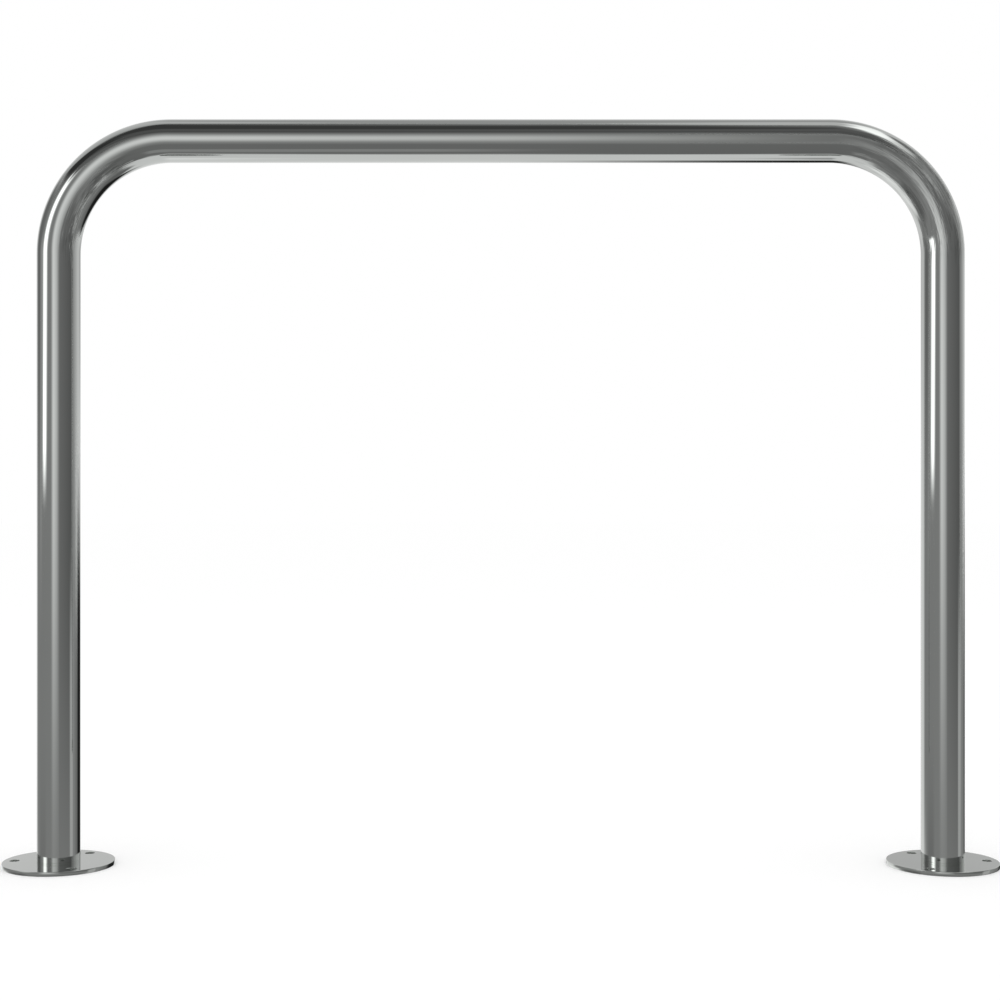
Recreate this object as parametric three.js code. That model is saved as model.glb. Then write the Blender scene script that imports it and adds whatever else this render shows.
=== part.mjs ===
// Hoop bike rack: one bent stainless steel tube welded to two round base plates that bolt to the ground.
// Lengths are in millimetres and +Z is up. The origin lies on the ground, midway between the two feet.
// +X runs along the hoop's width, and -Y is the side that a passer-by sees in front.
import * as THREE from "three";

// Sizes of the hoop tube
const legSpacing = 1000; // from one leg's axis to the other's
const overallHeight = 843; // from the ground to the top of the bar
const tubeDiameter = 48.3;
const tubeWall = 2;
const bendRadius = 128; // measured to the tube's axis

// Sizes of a base plate
const plateDiameter = 125;
const plateThickness = 5;
const plateEdgeBreak = 0.5; // the small chamfer that takes the sharpness off every edge
const boltHoleDiameter = 11; // clears a 10 mm anchor bolt
const boltHoleMargin = 7; // metal left between a bolt hole and the plate's rim

// Size of a foot weld
const weldHeight = 2; // the gap between the tube's end and the plate, which the weld fills

// Counts
const boltHoleCount = 3;
const tubeSides = 48;
const bendSteps = 12;
const plateSides = 72;
const boltHoleSides = 24;

// Places that follow from the sizes
const tubeRadius = tubeDiameter / 2;
const plateRadius = plateDiameter / 2;
const boltHoleRadius = boltHoleDiameter / 2;
const boltCircleRadius = plateRadius - boltHoleMargin - boltHoleRadius;
const legX = legSpacing / 2;
const footZ = plateThickness + weldHeight; // the legs stand on the welds
const barZ = overallHeight - tubeRadius;
const bendCentreX = legX - bendRadius;
const bendCentreZ = barZ - bendRadius;

// The points round a circle, starting from the direction of +X.
function circlePoints(radius, sides, x = 0, y = 0) {
  const points = [];
  for (let side = 0; side < sides; side++) {
    const angle = (2 * Math.PI * side) / sides;
    points.push(new THREE.Vector2(x + radius * Math.cos(angle), y + radius * Math.sin(angle)));
  }
  return points;
}

// The tube's axis, held as stations: one at each foot, and evenly spaced ones round each bend. The straight
// lengths between them need no more.
class HoopAxis extends THREE.Curve {
  constructor() {
    super();
    this.stations = [];
    this.addStation(-legX, footZ, Math.PI);
    this.addBend(-bendCentreX, Math.PI);
    this.addBend(bendCentreX, Math.PI / 2);
    this.addStation(legX, footZ, 0);
  }

  // The angle is the station's direction from its bend's centre, so the tube runs square to it.
  addStation(x, z, angle) {
    const point = new THREE.Vector3(x, 0, z);
    const tangent = new THREE.Vector3(Math.sin(angle), 0, -Math.cos(angle));
    this.stations.push({ point, tangent });
  }

  // A quarter turn from the start angle towards +X.
  addBend(centreX, startAngle) {
    for (let step = 0; step <= bendSteps; step++) {
      const angle = startAngle - (Math.PI / 2) * (step / bendSteps);
      const x = centreX + bendRadius * Math.cos(angle);
      const z = bendCentreZ + bendRadius * Math.sin(angle);
      this.addStation(x, z, angle);
    }
  }

  get steps() {
    return this.stations.length - 1;
  }

  getPointAt(share, target = new THREE.Vector3()) {
    return target.copy(this.stations[Math.round(share * this.steps)].point);
  }

  getTangentAt(share, target = new THREE.Vector3()) {
    return target.copy(this.stations[Math.round(share * this.steps)].tangent);
  }
}

// The tube's section, which is a foot weld's section too.
function tubeSection() {
  const section = new THREE.Shape(circlePoints(tubeRadius, tubeSides));
  section.holes.push(new THREE.Path(circlePoints(tubeRadius - tubeWall, tubeSides)));
  return section;
}

// The hoop: the tube's section swept along the axis, open at both feet.
function hoopTubeGeometry() {
  const axis = new HoopAxis();
  return new THREE.ExtrudeGeometry(tubeSection(), { steps: axis.steps, extrudePath: axis });
}

// A base plate lying on the ground, centred on its leg, with the first bolt hole towards +X.
function basePlateGeometry() {
  const outline = new THREE.Shape(circlePoints(plateRadius, plateSides));
  for (let hole = 0; hole < boltHoleCount; hole++) {
    const angle = (2 * Math.PI * hole) / boltHoleCount;
    const x = boltCircleRadius * Math.cos(angle);
    const y = boltCircleRadius * Math.sin(angle);
    outline.holes.push(new THREE.Path(circlePoints(boltHoleRadius, boltHoleSides, x, y)));
  }
  const plate = new THREE.ExtrudeGeometry(outline, {
    depth: plateThickness - 2 * plateEdgeBreak,
    bevelThickness: plateEdgeBreak,
    bevelSize: plateEdgeBreak,
    bevelOffset: -plateEdgeBreak,
    bevelSegments: 1,
  });
  return plate.translate(0, 0, plateEdgeBreak);
}

// A foot weld: a ring as wide and as thick as the tube's wall, ground flush with it inside and out.
function footWeldGeometry() {
  return new THREE.ExtrudeGeometry(tubeSection(), { depth: weldHeight, bevelEnabled: false });
}

// Polished stainless steel: neutral grey, mirror-like, and a little duller on the turned plates and the welds.
function steel(colour, roughness) {
  return new THREE.MeshStandardMaterial({ color: colour, roughness, metalness: 1 });
}

function namedMesh(name, geometry, material) {
  const mesh = new THREE.Mesh(geometry, material);
  mesh.name = name;
  return mesh;
}

// A foot: the plate on the ground and the weld on it, with the outer bolt hole pointing away from the hoop.
function foot(side, outward) {
  const plate = namedMesh(`${side}_base_plate`, basePlateGeometry(), steel("#bcbfbc", 0.14));
  const weld = namedMesh(`${side}_foot_weld`, footWeldGeometry(), steel("#b6b9b6", 0.15));
  weld.position.z = plateThickness;
  const group = new THREE.Group();
  group.position.x = outward * legX;
  group.rotation.z = outward > 0 ? 0 : Math.PI;
  group.add(plate, weld);
  return group;
}

const hoopBikeRack = new THREE.Group();
hoopBikeRack.add(namedMesh("hoop_tube", hoopTubeGeometry(), steel("#b8bbb8", 0.1)));
hoopBikeRack.add(foot("left", -1), foot("right", 1));

export default hoopBikeRack;
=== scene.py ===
import math

import bmesh
import bpy
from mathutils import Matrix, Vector


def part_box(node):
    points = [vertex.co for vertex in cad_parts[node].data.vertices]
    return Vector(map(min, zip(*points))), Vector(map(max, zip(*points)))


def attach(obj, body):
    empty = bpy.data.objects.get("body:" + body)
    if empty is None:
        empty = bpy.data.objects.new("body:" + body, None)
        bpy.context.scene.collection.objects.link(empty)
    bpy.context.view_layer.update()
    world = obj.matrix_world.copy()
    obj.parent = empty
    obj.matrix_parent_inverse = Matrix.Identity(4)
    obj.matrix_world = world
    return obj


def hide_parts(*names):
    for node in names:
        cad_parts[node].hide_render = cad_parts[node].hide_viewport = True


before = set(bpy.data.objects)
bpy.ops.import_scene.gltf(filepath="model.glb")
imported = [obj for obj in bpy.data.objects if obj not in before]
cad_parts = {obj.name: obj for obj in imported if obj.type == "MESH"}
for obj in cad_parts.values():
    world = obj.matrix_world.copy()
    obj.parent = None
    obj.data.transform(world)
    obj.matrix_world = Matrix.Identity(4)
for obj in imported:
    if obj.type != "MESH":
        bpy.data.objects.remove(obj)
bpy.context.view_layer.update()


# The hoop tube
# One length of round stainless steel tube with a thin wall. It was bent cold by a quarter turn at each top
# corner, polished to a mirror all over, and stands on the two base plates, to which its ends are welded.

hoop_low, hoop_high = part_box("hoop_tube")
tube_radius = hoop_high.y
tube_wall = 0.002
bend_radius = 0.128  # to the tube's axis
leg_x = hoop_high.x - tube_radius
foot_z = hoop_low.z
bar_z = hoop_high.z - tube_radius
bend_x = leg_x - bend_radius
bend_z = bar_z - bend_radius
leg_length = bend_z - foot_z
bend_length = bend_radius * math.pi / 2
bar_length = 2 * bend_x
hoop_length = 2 * leg_length + 2 * bend_length + bar_length
tube_sides = 96
bend_rings = 48
straight_ring_pitch = 0.02
bend_run_in = 0.02  # how far the marks of the bending die take to fade out
# Where those marks show, as in the photo: "along" is a share of the bend, 0 at the bar and 1 at the leg,
# and "out" is a share of the tube's radius, -1 on its inner side and 1 on its outer side. Of each two
# numbers, the marks begin at the first and are full at the second.
left_marks_along = (0.15, 0.4)
left_marks_out = (-0.167, -0.722)
left_clean_line_out = (-0.95, -0.7)  # the innermost line of the left bend is clean
right_middle_along = (0, 0.333)
right_middle_out = (0.64, 0.24)
right_middle_strength = 0.35
right_outer_along = (0.3, 0.5)
right_outer_out = (-0.2, 0.8)
right_outer_strength = 0.75


def hoop_axis(along):
    """The axis point at a length along the tube from its left foot, and the outward direction there."""
    side = -1 if along < hoop_length / 2 else 1
    from_foot = min(along, hoop_length - along)
    if from_foot <= leg_length:
        return Vector((side * leg_x, 0, foot_z + from_foot)), Vector((side, 0, 0))
    if from_foot < leg_length + bend_length:
        angle = (from_foot - leg_length) / bend_radius
        outward = Vector((side * math.cos(angle), 0, math.sin(angle)))
        return Vector((side * bend_x, 0, bend_z)) + outward * bend_radius, outward
    return Vector((along - hoop_length / 2, 0, bar_z)), Vector((0, 0, 1))


def fade_in(value, begins, full):
    """0 until a value begins to count, 1 from where it is full, and an easy curve between the two."""
    share = min(max((value - begins) / (full - begins), 0), 1)
    return share * share * (3 - 2 * share)


def marking(along, out):
    """How strongly the bending marked the tube: not at all on a straight length, nor where the polishing
    took the marks out. The left bend keeps them on both flanks of its inner side, and the right bend keeps
    them faintly along its middle and more strongly on its outer side."""
    from_foot = min(along, hoop_length - along)
    inside = min(from_foot - leg_length, leg_length + bend_length - from_foot)
    in_bend = fade_in(inside, -bend_run_in / 2, bend_run_in / 2)
    past_bar = (leg_length + bend_length - from_foot) / bend_length
    out_share = out / tube_radius
    if along < hoop_length / 2:
        flank = fade_in(out_share, *left_marks_out) * fade_in(out_share, *left_clean_line_out)
        return in_bend * fade_in(past_bar, *left_marks_along) * flank
    middle = fade_in(past_bar, *right_middle_along) * fade_in(out_share, *right_middle_out)
    outer = fade_in(past_bar, *right_outer_along) * fade_in(out_share, *right_outer_out)
    return in_bend * (right_middle_strength * middle + right_outer_strength * outer)


def ring_lengths():
    """The lengths along the tube that get a ring of vertices, closer together in the bends."""
    leg_rings = round(leg_length / straight_ring_pitch)
    bar_rings = round(bar_length / straight_ring_pitch)
    lengths = [0.0]
    for stretch, rings in (
        (leg_length, leg_rings),
        (bend_length, bend_rings),
        (bar_length, bar_rings),
        (bend_length, bend_rings),
        (leg_length, leg_rings),
    ):
        start = lengths[-1]
        lengths += [start + stretch * (ring + 1) / rings for ring in range(rings)]
    return lengths


def bridge(mesh, ring, next_ring):
    """Joins two closed rings that have the same number of vertices, and returns the faces."""
    faces = []
    for side in range(len(ring)):
        after = (side + 1) % len(ring)
        faces.append(mesh.faces.new((ring[side], ring[after], next_ring[after], next_ring[side])))
    return faces


def finish_piece(name, mesh, material):
    """Turns a bmesh into an object of the scene with one material, and its faces outward."""
    bmesh.ops.recalc_face_normals(mesh, faces=mesh.faces)
    data = bpy.data.meshes.new(name)
    mesh.to_mesh(data)
    mesh.free()
    data.materials.append(material)
    piece = bpy.data.objects.new(name, data)
    bpy.context.scene.collection.objects.link(piece)
    return piece


def hoop_mesh():
    """The tube's outer and inner wall, and the two ring-shaped ends that stand on the plates."""
    mesh = bmesh.new()
    before_bending = mesh.verts.layers.float_vector.new("before_bending")
    marked = mesh.verts.layers.float.new("marked")
    walls = []
    for radius in (tube_radius, tube_radius - tube_wall):
        rings = []
        for along in ring_lengths():
            centre, outward = hoop_axis(along)
            ring = []
            for side in range(tube_sides):
                turn = 2 * math.pi * side / tube_sides
                out, across = radius * math.cos(turn), radius * math.sin(turn)
                vertex = mesh.verts.new(centre + out * outward + across * Vector((0, 1, 0)))
                vertex[before_bending] = Vector((out, across, along))
                vertex[marked] = marking(along, out)
                ring.append(vertex)
            rings.append(ring)
        for ring, next_ring in zip(rings, rings[1:]):
            for face in bridge(mesh, ring, next_ring):
                face.smooth = True
        walls.append(rings)
    outer, inner = walls
    for end in (0, -1):
        for face in bridge(mesh, outer[end], inner[end]):
            for edge in face.edges:
                edge.smooth = False
    return mesh


def linear(hex_colour):
    """An sRGB hex colour as the linear colour with alpha that a shader socket takes."""
    channels = [int(hex_colour[at : at + 2], 16) / 255 for at in (1, 3, 5)]
    return [c / 12.92 if c <= 0.04045 else ((c + 0.055) / 1.055) ** 2.4 for c in channels] + [1]


def new_material(name):
    """An empty node material, and its tree."""
    material = bpy.data.materials.new(name)
    material.use_nodes = True
    material.node_tree.nodes.clear()
    return material, material.node_tree


def add_node(tree, kind, inputs=(), **settings):
    """Adds a node. An input that is given another node's socket is linked to it, and any other is set."""
    node = tree.nodes.new(kind)
    for setting, value in settings.items():
        setattr(node, setting, value)
    for socket, value in dict(inputs).items():
        if isinstance(value, bpy.types.NodeSocket):
            tree.links.new(value, node.inputs[socket])
        else:
            node.inputs[socket].default_value = value
    return node


# Stainless steel, mirror polished: a neutral grey metal that shows its surroundings sharply. It still has
# a breath of haze where the mop pressed less, and the bends keep faint marks drawn out along them, with
# painted shade in their grooves.
# Patches, widths and lengths are in mm here, because the pattern's space is scaled to mm. Depths are in
# metres.
tube_greys = ("#b9bcba", "#bdbfbd")
tube_grey_patch = 80
haze_patch = 35
tube_roughness = (0.035, 0.06)  # where the mop pressed most, and where it pressed least
noise_reach = (0.3, 0.7)  # nearly all of a noise lies between these
# Polishing lines are about 0.05 mm apart on the real tube, and are drawn 2 mm apart so that they can show.
polishing_line = 2
polishing_line_length = 50
polishing_depth = 4e-7
# The bending die drags along the tube and leaves shallow grooves about 2 mm wide and 25 mm long, which the
# polishing after it rounds off but doesn't take out. They are drawn deeper than real so that they can show.
bend_mark_width = 2
bend_mark_length = 25
bend_mark_depth = 0.0007
groove_edge = 0.5  # the noise's value at a groove's edge
groove_bottom = 0.38  # and at its bottom
# painted shade: a darker grey mixed into the bottoms of the bend marks' grooves
groove_painted_shade = "#979a97"
groove_dullness = 0.08  # added to the roughness at a groove's bottom

polished_tube, tree = new_material("stainless_steel_mirror_polished")
place = add_node(tree, "ShaderNodeAttribute", attribute_name="before_bending")
in_mm = add_node(
    tree, "ShaderNodeVectorMath", {0: place.outputs["Vector"], "Scale": 1000}, operation="SCALE"
)
haze = add_node(
    tree,
    "ShaderNodeTexNoise",
    {"Vector": in_mm.outputs[0], "Scale": 1 / haze_patch, "Detail": 3},
)
haze_roughness = add_node(
    tree,
    "ShaderNodeMapRange",
    {
        "Value": haze.outputs["Fac"],
        "From Min": noise_reach[0],
        "From Max": noise_reach[1],
        "To Min": tube_roughness[0],
        "To Max": tube_roughness[1],
    },
)
tone = add_node(
    tree,
    "ShaderNodeTexNoise",
    {"Vector": in_mm.outputs[0], "Scale": 1 / tube_grey_patch, "Detail": 2},
)
unshaded_colour = add_node(
    tree,
    "ShaderNodeMix",
    {"Factor": tone.outputs["Fac"], "A": linear(tube_greys[0]), "B": linear(tube_greys[1])},
    data_type="RGBA",
)
around_lines = add_node(
    tree,
    "ShaderNodeVectorMath",
    {
        0: in_mm.outputs[0],
        1: (1 / polishing_line_length, 1 / polishing_line_length, 1 / polishing_line),
    },
    operation="MULTIPLY",
)
lines = add_node(
    tree, "ShaderNodeTexNoise", {"Vector": around_lines.outputs[0], "Scale": 1, "Detail": 2}
)
line_bump = add_node(
    tree,
    "ShaderNodeBump",
    {"Height": lines.outputs["Fac"], "Distance": polishing_depth},
)
along_marks = add_node(
    tree,
    "ShaderNodeVectorMath",
    {
        0: in_mm.outputs[0],
        1: (1 / bend_mark_width, 1 / bend_mark_width, 1 / bend_mark_length),
    },
    operation="MULTIPLY",
)
marks = add_node(
    tree, "ShaderNodeTexNoise", {"Vector": along_marks.outputs[0], "Scale": 1, "Detail": 2}
)
bend_place = add_node(tree, "ShaderNodeAttribute", attribute_name="marked")
bend_marks = add_node(
    tree,
    "ShaderNodeMath",
    {0: marks.outputs["Fac"], 1: bend_place.outputs["Fac"]},
    operation="MULTIPLY",
)
mark_bump = add_node(
    tree,
    "ShaderNodeBump",
    {
        "Height": bend_marks.outputs[0],
        "Distance": bend_mark_depth,
        "Normal": line_bump.outputs["Normal"],
    },
)
groove = add_node(
    tree,
    "ShaderNodeMapRange",
    {"Value": marks.outputs["Fac"], "From Min": groove_edge, "From Max": groove_bottom},
)
groove_shade_and_dullness = add_node(
    tree,
    "ShaderNodeMath",
    {0: groove.outputs["Result"], 1: bend_place.outputs["Fac"]},
    operation="MULTIPLY",
)
# Painted shade: the tube's grey is mixed toward the darker groove grey at the bottoms of the bend marks.
colour = add_node(
    tree,
    "ShaderNodeMix",
    {
        "Factor": groove_shade_and_dullness.outputs[0],
        "A": unshaded_colour.outputs["Result"],
        "B": linear(groove_painted_shade),
    },
    data_type="RGBA",
)
roughness = add_node(
    tree,
    "ShaderNodeMath",
    {0: groove_shade_and_dullness.outputs[0], 1: groove_dullness, 2: haze_roughness.outputs["Result"]},
    operation="MULTIPLY_ADD",
)
steel = add_node(
    tree,
    "ShaderNodeBsdfPrincipled",
    {
        "Base Color": colour.outputs["Result"],
        "Metallic": 1,
        "Roughness": roughness.outputs[0],
        "Normal": mark_bump.outputs["Normal"],
    },
)
add_node(tree, "ShaderNodeOutputMaterial", {"Surface": steel.outputs["BSDF"]})

hoop = finish_piece("bent_hoop_tube", hoop_mesh(), polished_tube)
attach(hoop, "root")
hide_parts("hoop_tube")


# The base plates
# Two round discs cut from 5 mm stainless steel plate, each with three plain holes for ground bolts. The rim
# was turned on a lathe and its edges broken, and the top was polished until it mirrors the leg.

plate_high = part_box("right_base_plate")[1]
plate_radius = plate_high.y
plate_top = plate_high.z
plate_edge = 0.0005  # radius of the broken edges
plate_sides = 192
edge_steps = 3
bolt_hole_radius = 0.0055
bolt_hole_sides = 64
bolt_hole_margin = 0.007  # metal left between a hole and the rim
bolt_circle_radius = plate_radius - bolt_hole_margin - bolt_hole_radius
bolt_hole_count = 3


def edge_profile(radius, into_metal):
    """A wall from the bottom to the top of the plate with both edges rounded, as (radius, height) pairs."""
    profile = []
    for step in range(edge_steps + 1):
        turn = math.pi / 2 * step / edge_steps
        back = plate_edge * (1 - math.sin(turn))
        profile.append((radius + into_metal * back, plate_edge * (1 - math.cos(turn))))
    return profile + [(r, plate_top - z) for r, z in reversed(profile)]


def plate_wall(mesh, profile, sides, centre):
    """A round wall from a profile, smooth between its rounded edges. Returns its bottom and top rings."""
    rings = []
    for radius, height in profile:
        ring = []
        for side in range(sides):
            turn = 2 * math.pi * side / sides
            point = centre + Vector((radius * math.cos(turn), radius * math.sin(turn), height))
            ring.append(mesh.verts.new(point))
        rings.append(ring)
    for ring, next_ring in zip(rings, rings[1:]):
        for face in bridge(mesh, ring, next_ring):
            face.smooth = True
    return rings[0], rings[-1]


def plate_mesh(outward):
    """A plate round its own centre, with one bolt hole pointing away from the hoop."""
    mesh = bmesh.new()
    bottom, top = plate_wall(mesh, edge_profile(plate_radius, -1), plate_sides, Vector())
    bottoms, tops = [bottom], [top]
    for hole in range(bolt_hole_count):
        turn = 2 * math.pi * hole / bolt_hole_count
        centre = Vector((outward * math.cos(turn), math.sin(turn), 0)) * bolt_circle_radius
        bottom, top = plate_wall(mesh, edge_profile(bolt_hole_radius, 1), bolt_hole_sides, centre)
        bottoms.append(bottom)
        tops.append(top)
    for rings in (bottoms, tops):
        edges = []
        for ring in rings:
            for side, vertex in enumerate(ring):
                edge = mesh.edges.get((vertex, ring[(side + 1) % len(ring)]))
                edge.smooth = False
                edges.append(edge)
        bmesh.ops.triangle_fill(mesh, edges=edges, use_beauty=True)
    return mesh


# Stainless steel plate, turned and polished: flat and mirror-like from above, with the faintest rings left
# by the lathe on its top and round its rim, and a breath of haze in soft patches.
# Lathe lines are about 0.1 mm apart on the real plate, and are drawn 0.8 mm apart so that they can show.
plate_greys = ("#babdba", "#bec1be")
plate_haze_patch = 0.025
plate_roughness = (0.035, 0.07)
lathe_line = 0.0008
lathe_depth = 2e-7

polished_plate, tree = new_material("stainless_steel_turned_and_polished")
place = add_node(tree, "ShaderNodeTexCoord")
flat_place = add_node(
    tree,
    "ShaderNodeVectorMath",
    {0: place.outputs["Object"], 1: (1, 1, 0)},
    operation="MULTIPLY",
)
from_centre = add_node(
    tree, "ShaderNodeVectorMath", {0: flat_place.outputs[0]}, operation="LENGTH"
)
height = add_node(tree, "ShaderNodeSeparateXYZ", {0: place.outputs["Object"]})
tool_path = add_node(
    tree,
    "ShaderNodeMath",
    {0: from_centre.outputs["Value"], 1: height.outputs["Z"]},
    operation="ADD",
)
lathe_lines = add_node(
    tree,
    "ShaderNodeTexNoise",
    {"W": tool_path.outputs[0], "Scale": 1 / lathe_line, "Detail": 1},
    noise_dimensions="1D",
)
haze = add_node(
    tree,
    "ShaderNodeTexNoise",
    {"Vector": place.outputs["Object"], "Scale": 1 / plate_haze_patch, "Detail": 3},
)
roughness = add_node(
    tree,
    "ShaderNodeMapRange",
    {
        "Value": haze.outputs["Fac"],
        "From Min": noise_reach[0],
        "From Max": noise_reach[1],
        "To Min": plate_roughness[0],
        "To Max": plate_roughness[1],
    },
)
colour = add_node(
    tree,
    "ShaderNodeMix",
    {"Factor": haze.outputs["Fac"], "A": linear(plate_greys[0]), "B": linear(plate_greys[1])},
    data_type="RGBA",
)
bump = add_node(
    tree,
    "ShaderNodeBump",
    {"Height": lathe_lines.outputs["Fac"], "Distance": lathe_depth},
)
steel = add_node(
    tree,
    "ShaderNodeBsdfPrincipled",
    {
        "Base Color": colour.outputs["Result"],
        "Metallic": 1,
        "Roughness": roughness.outputs["Result"],
        "Normal": bump.outputs["Normal"],
    },
)
add_node(tree, "ShaderNodeOutputMaterial", {"Surface": steel.outputs["BSDF"]})

for side, outward in (("left", -1), ("right", 1)):
    plate = finish_piece(f"{side}_round_plate", plate_mesh(outward), polished_plate)
    plate.location.x = outward * leg_x
    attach(plate, "root")
    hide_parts(f"{side}_base_plate")


# The foot welds
# A ring of filler steel in the gap between each end of the tube and its plate, as thick as the tube's wall.
# It was laid in a few passes, ground flush with the tube by hand and polished with it, so no bead shows.

weld_low, weld_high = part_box("right_foot_weld")
weld_sides = 96
weld_rings = 8
grinding_dip = 0.00003  # the deepest hollow that the hand grinding left
grinding_dips = 7  # round the leg


def weld_mesh():
    """A ring round its own centre: an outer wall with faint hollows, a plain bore, and two flat ends."""
    mesh = bmesh.new()
    walls = []
    for radius, dip in ((weld_high.y, grinding_dip), (weld_high.y - tube_wall, 0)):
        rings = []
        for step in range(weld_rings + 1):
            share = step / weld_rings
            height = weld_low.z + (weld_high.z - weld_low.z) * share
            ring = []
            for side in range(weld_sides):
                turn = 2 * math.pi * side / weld_sides
                depth_across = math.sin(math.pi * share)
                depth_around = (1 + math.sin(grinding_dips * turn)) / 2
                out = radius - dip * depth_across * depth_around
                ring.append(mesh.verts.new((out * math.cos(turn), out * math.sin(turn), height)))
            rings.append(ring)
        for ring, next_ring in zip(rings, rings[1:]):
            for face in bridge(mesh, ring, next_ring):
                face.smooth = True
        walls.append(rings)
    outer, inner = walls
    for end in (0, -1):
        for face in bridge(mesh, outer[end], inner[end]):
            for edge in face.edges:
                edge.smooth = False
    return mesh


# Stainless weld metal, ground flush and polished: the same grey as the tube and almost as bright, with fine
# scratches left round the leg by the grinding belt, which dull its reflections a little.
# Belt scratches are about 0.05 mm apart on the real weld, and are drawn 0.4 mm apart so that they can show.
weld_greys = ("#b4b7b4", "#babdba")
weld_roughness = (0.05, 0.1)
belt_scratch = 0.0004
belt_scratch_length = 0.006
belt_scratch_depth = 3e-7

polished_weld, tree = new_material("stainless_steel_weld_ground_and_polished")
place = add_node(tree, "ShaderNodeTexCoord")
scratch_place = add_node(
    tree,
    "ShaderNodeVectorMath",
    {
        0: place.outputs["Object"],
        1: (1 / belt_scratch_length, 1 / belt_scratch_length, 1 / belt_scratch),
    },
    operation="MULTIPLY",
)
scratches = add_node(
    tree,
    "ShaderNodeTexNoise",
    {"Vector": scratch_place.outputs[0], "Scale": 1, "Detail": 2},
)
roughness = add_node(
    tree,
    "ShaderNodeMapRange",
    {
        "Value": scratches.outputs["Fac"],
        "From Min": noise_reach[0],
        "From Max": noise_reach[1],
        "To Min": weld_roughness[0],
        "To Max": weld_roughness[1],
    },
)
colour = add_node(
    tree,
    "ShaderNodeMix",
    {"Factor": scratches.outputs["Fac"], "A": linear(weld_greys[0]), "B": linear(weld_greys[1])},
    data_type="RGBA",
)
bump = add_node(
    tree,
    "ShaderNodeBump",
    {"Height": scratches.outputs["Fac"], "Distance": belt_scratch_depth},
)
steel = add_node(
    tree,
    "ShaderNodeBsdfPrincipled",
    {
        "Base Color": colour.outputs["Result"],
        "Metallic": 1,
        "Roughness": roughness.outputs["Result"],
        "Normal": bump.outputs["Normal"],
    },
)
add_node(tree, "ShaderNodeOutputMaterial", {"Surface": steel.outputs["BSDF"]})

for side, outward in (("left", -1), ("right", 1)):
    weld = finish_piece(f"{side}_flush_weld", weld_mesh(), polished_weld)
    weld.location.x = outward * leg_x
    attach(weld, "root")
    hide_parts(f"{side}_foot_weld")


# The floor and the white room
# A plain matt white floor in a white room whose light comes evenly from all round, with one large soft lamp
# overhead. To the eye the floor runs into the white, and it keeps the rack's faint soft shadow.

floor_half = 30  # from the middle to each side
floor_grey = "#e8e8e8"
floor_glow = 0.19  # what the floor adds of its own where it is seen, so that it reaches white
room_white = "#ffffff"
room_light = 1  # white where it is seen, and a plain level as light
lamp_width = 3
lamp_power = 8
lamp_place = Vector((-0.6, -0.8, 3.2))
lamp_aim = Vector((0, 0, 0.3))

# Matt white paint: it has no shine, and it glows just enough to look as white as the room round it. Only
# rays by which things are seen find that glow, so it adds no light to the rack.
white_floor, tree = new_material("matt_white_floor")
ray = add_node(tree, "ShaderNodeLightPath")
mirrored = add_node(
    tree,
    "ShaderNodeMath",
    {0: ray.outputs["Is Glossy Ray"], 1: ray.outputs["Is Transmission Ray"]},
    operation="MAXIMUM",
)
seen = add_node(
    tree,
    "ShaderNodeMath",
    {0: ray.outputs["Is Camera Ray"], 1: mirrored.outputs[0]},
    operation="MAXIMUM",
)
glow = add_node(
    tree,
    "ShaderNodeMath",
    {0: seen.outputs[0], 1: floor_glow},
    operation="MULTIPLY",
)
paint = add_node(tree, "ShaderNodeBsdfDiffuse", {"Color": linear(floor_grey)})
light = add_node(
    tree, "ShaderNodeEmission", {"Color": linear(room_white), "Strength": glow.outputs[0]}
)
both = add_node(
    tree, "ShaderNodeAddShader", {0: paint.outputs["BSDF"], 1: light.outputs["Emission"]}
)
add_node(tree, "ShaderNodeOutputMaterial", {"Surface": both.outputs["Shader"]})

mesh = bmesh.new()
bmesh.ops.create_grid(mesh, x_segments=1, y_segments=1, size=floor_half)
floor = finish_piece("floor", mesh, white_floor)
floor.visible_glossy = False  # the steel mirrors the grey floor card below instead

world = bpy.data.worlds.new("white_room")
world.use_nodes = True
bpy.context.scene.world = world
tree = world.node_tree
tree.nodes.clear()
room = add_node(
    tree, "ShaderNodeBackground", {"Color": linear(room_white), "Strength": room_light}
)
add_node(tree, "ShaderNodeOutputWorld", {"Surface": room.outputs["Background"]})

lamp_data = bpy.data.lights.new("soft_overhead_lamp", "AREA")
lamp_data.shape = "DISK"
lamp_data.size = lamp_width
lamp_data.energy = lamp_power
lamp = bpy.data.objects.new("soft_overhead_lamp", lamp_data)
lamp.location = lamp_place
lamp.rotation_euler = (lamp_aim - lamp_place).to_track_quat("-Z", "Y").to_euler()
lamp.visible_camera = False
lamp.visible_glossy = False
bpy.context.scene.collection.objects.link(lamp)


# The studio cards
# Softboxes and grey and black cards that stand far round the rack, so that the polished steel has something
# to mirror, as in any studio. Only the steel's mirror rays see them, and past them is the white room.

card_distance = 9
card_gap = 0.04  # each card stands a little in front of the last, so their order counts
card_centre = Vector((0, 0, 0.42))
card_fade_steps = 8
card_middle_step = 5  # in degrees
zenith = 89.9  # a hair under straight up, so that no face closes to a point
cards = []

card_light, tree = new_material("studio_card")
cover = add_node(tree, "ShaderNodeAttribute", attribute_name="cover")
grey = add_node(tree, "ShaderNodeAttribute", attribute_name="grey")
nothing = add_node(tree, "ShaderNodeBsdfTransparent")
light = add_node(
    tree, "ShaderNodeEmission", {"Color": linear(room_white), "Strength": grey.outputs["Fac"]}
)
card = add_node(
    tree,
    "ShaderNodeMixShader",
    {0: cover.outputs["Fac"], 1: nothing.outputs["BSDF"], 2: light.outputs["Emission"]},
)
add_node(tree, "ShaderNodeOutputMaterial", {"Surface": card.outputs["Shader"]})
card_light.cycles.emission_sampling = "NONE"


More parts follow.
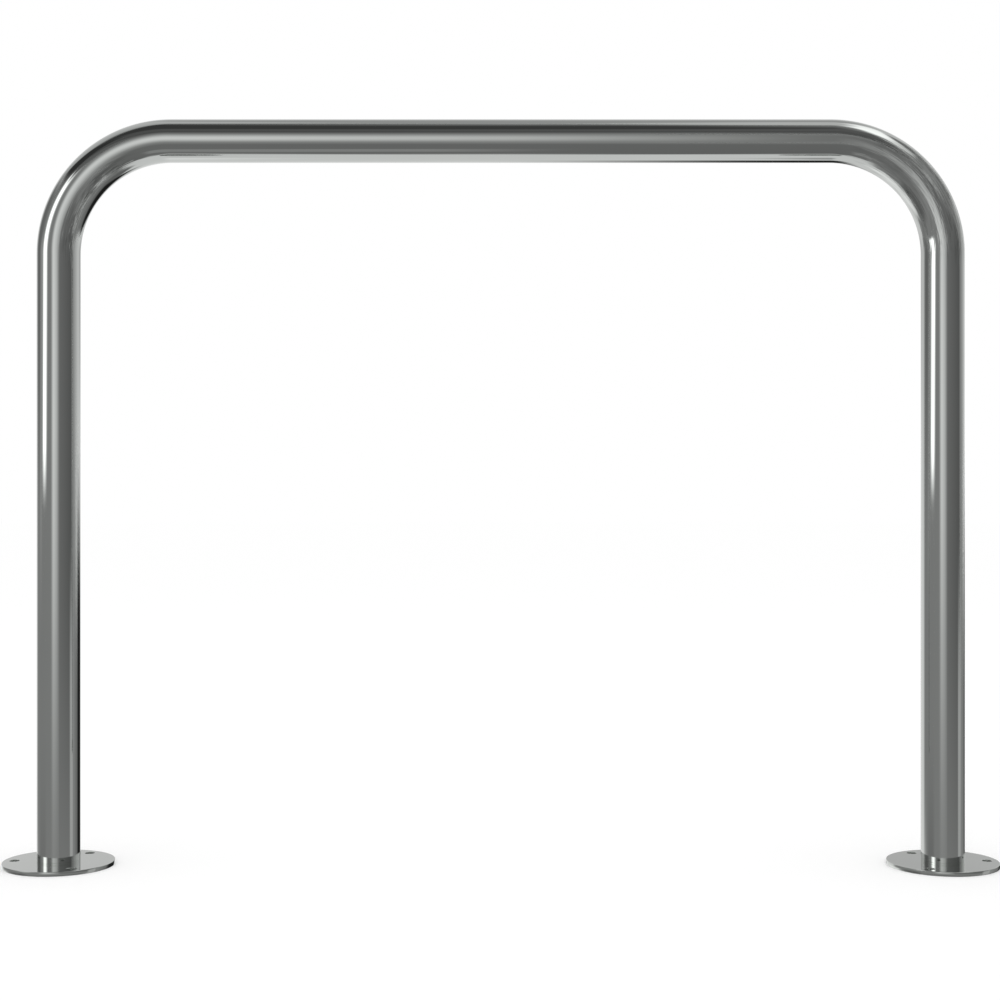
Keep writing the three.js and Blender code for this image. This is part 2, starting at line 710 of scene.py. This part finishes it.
def card_lines(start, end, fade):
    """Angles across a card with each line's share of cover: soft at both edges and full between them."""
    rows = []
    for step in range(card_fade_steps + 1):
        share = step / card_fade_steps
        rows.append((start + fade * (share - 0.5), fade_in(share, 0, 1)))
    inner = end - start - fade
    steps = max(1, math.ceil(inner / card_middle_step))
    rows += [(start + fade / 2 + inner * step / steps, 1) for step in range(1, steps)]
    for step in range(card_fade_steps + 1):
        share = step / card_fade_steps
        rows.append((end + fade * (share - 0.5), fade_in(share, 1, 0)))
    return rows


def studio_card(name, azimuths, elevations, fades, greys, lean=0):
    """A curved card that faces the rack. Angles are in degrees, with azimuth 0 towards the camera and 90
    towards +X. The card is soft over the two fades, and runs from one grey at its first azimuth to the
    other at its last. A grey of 1 is as bright as the white room, and a softbox is brighter. The azimuth
    drifts by the lean for each degree that the card rises, and the card ends at the zenith."""
    mesh = bmesh.new()
    cover = mesh.verts.layers.float.new("cover")
    grey = mesh.verts.layers.float.new("grey")
    distance = card_distance - card_gap * len(cards)
    middle = (elevations[0] + elevations[1]) / 2
    rows = []
    for elevation, cover_up in card_lines(*elevations, fades[1]):
        if rows and elevation - card_middle_step >= zenith:
            break
        elevation = min(elevation, zenith)
        row = []
        for azimuth, cover_across in card_lines(*azimuths, fades[0]):
            turn = math.radians(azimuth + lean * (elevation - middle))
            rise = math.radians(elevation)
            level = Vector((math.sin(turn), -math.cos(turn), 0))
            toward = level * math.cos(rise) + Vector((0, 0, math.sin(rise)))
            vertex = mesh.verts.new(card_centre + distance * toward)
            vertex[cover] = cover_up * cover_across
            share = min(max((azimuth - azimuths[0]) / (azimuths[1] - azimuths[0]), 0), 1)
            vertex[grey] = greys[0] + (greys[1] - greys[0]) * share
            row.append(vertex)
        rows.append(row)
    for row, next_row in zip(rows, rows[1:]):
        for at in range(len(row) - 1):
            mesh.faces.new((row[at], row[at + 1], next_row[at + 1], next_row[at]))
    card = finish_piece(name, mesh, card_light)
    card.visible_camera = False
    card.visible_diffuse = False
    card.visible_transmission = False
    card.visible_shadow = False
    cards.append(card)


# The walls and the ceiling
studio_card("rear_wall_card", (120, 240), (4, 110), (20, 14), (0.85, 0.85))
studio_card("rear_ceiling_card", (120, 240), (46, 110), (20, 30), (0.5, 0.5))
studio_card("rear_low_card", (155, 205), (5, 17), (20, 8), (0.53, 0.74))
studio_card("front_walls_card", (-130, 112), (-72, 110), (20, 16), (0.33, 0.38))
studio_card("left_high_wall_card", (-150, -90), (32, 80), (20, 16), (0.8, 0.6))
studio_card("left_low_white_card", (-158, -114), (-62, -16), (20, 10), (1.4, 1.2))
studio_card("right_rear_wall_card", (95, 135), (0, 60), (20, 14), (0.45, 0.9))
studio_card("right_rear_low_card", (95, 148), (-64, -3), (14, 10), (0.42, 0.12))
studio_card("dark_ceiling_card", (-90, 35), (35, 82), (35, 20), (0.06, 0.08))
studio_card("ceiling_edge_card", (-60, 50), (42, 55), (20, 5), (0.12, 0.17))
studio_card("left_ceiling_edge_card", (-100, -55), (36, 52), (12, 6), (0.05, 0.05), lean=1.2)
studio_card("right_ceiling_card", (58, 150), (69, 84), (20, 6), (0.8, 0.8))
studio_card("left_dark_card", (-120, -88), (3, 30), (14, 10), (0.2, 0.25))
# The lights, and the dark flags and edges beside them
studio_card("left_softbox_glow", (-96, -80), (-2, 14), (12, 8), (0.45, 0.45), lean=0.5)
studio_card("left_softbox", (-68, -50), (1, 34), (18, 3), (3.1, 3.1), lean=0.5)
studio_card("left_softbox_flag", (-56, -28), (29, 40), (8, 6), (0.17, 0.2))
studio_card("right_ceiling_edge_card", (14, 40), (30, 42), (12, 6), (0.13, 0.15))
studio_card("high_right_glow", (55, 85), (45, 56), (12, 8), (1.3, 0.8))
studio_card("high_right_softbox", (57, 125), (54, 70), (20, 8), (2, 1.6))
studio_card("right_high_dark_card", (92, 118), (25, 56), (14, 6), (0.25, 0.25))
studio_card("front_fill_card", (-23, 7), (-6, 20), (18, 24), (1.3, 0.7))
# The darker and lighter patches low down and at the sides
studio_card("right_wall_card", (12, 85), (-12, 22), (10, 20), (0.25, 0.15))
studio_card("floor_card", (-60, 65), (-85, -22), (40, 12), (0.27, 0.2))
studio_card("floor_strip_card", (-34, 0), (-68, -52), (14, 4), (0.38, 0.38))
studio_card("low_right_light_card", (65, 88), (-54, -43), (12, 6), (0.8, 0.8))
studio_card("right_strip_card", (74, 94), (-34, -5), (8, 8), (0.6, 0.6))
studio_card("right_light_card", (34, 50), (23, 31), (12, 6), (0.6, 0.6))
studio_card("left_low_dark_card", (-98, -60), (-46, -15), (20, 12), (0.18, 0.18))
studio_card("right_rear_floor_card", (138, 158), (-60, -34), (8, 12), (0.2, 0.2))
studio_card("black_card", (134, 174), (-40, -1), (14, 8), (0.02, 0.02))


# The camera
# It stands level in front of the rack, with the place and the lens that put both legs, the bar and the
# edges of both plates where the photo shows them.

camera_place = Vector((-0.00081, -1.9625, 0.4129))
camera_lens = 62.456  # in mm, on a film 36 mm wide
camera_film = 36

camera_data = bpy.data.cameras.new("camera")
camera_data.lens = camera_lens
camera_data.sensor_width = camera_film
camera = bpy.data.objects.new("camera", camera_data)
camera.location = camera_place
camera.rotation_euler = (math.pi / 2, 0, 0)
bpy.context.scene.collection.objects.link(camera)
bpy.context.scene.camera = camera
bpy.context.scene.view_settings.view_transform = "Standard"
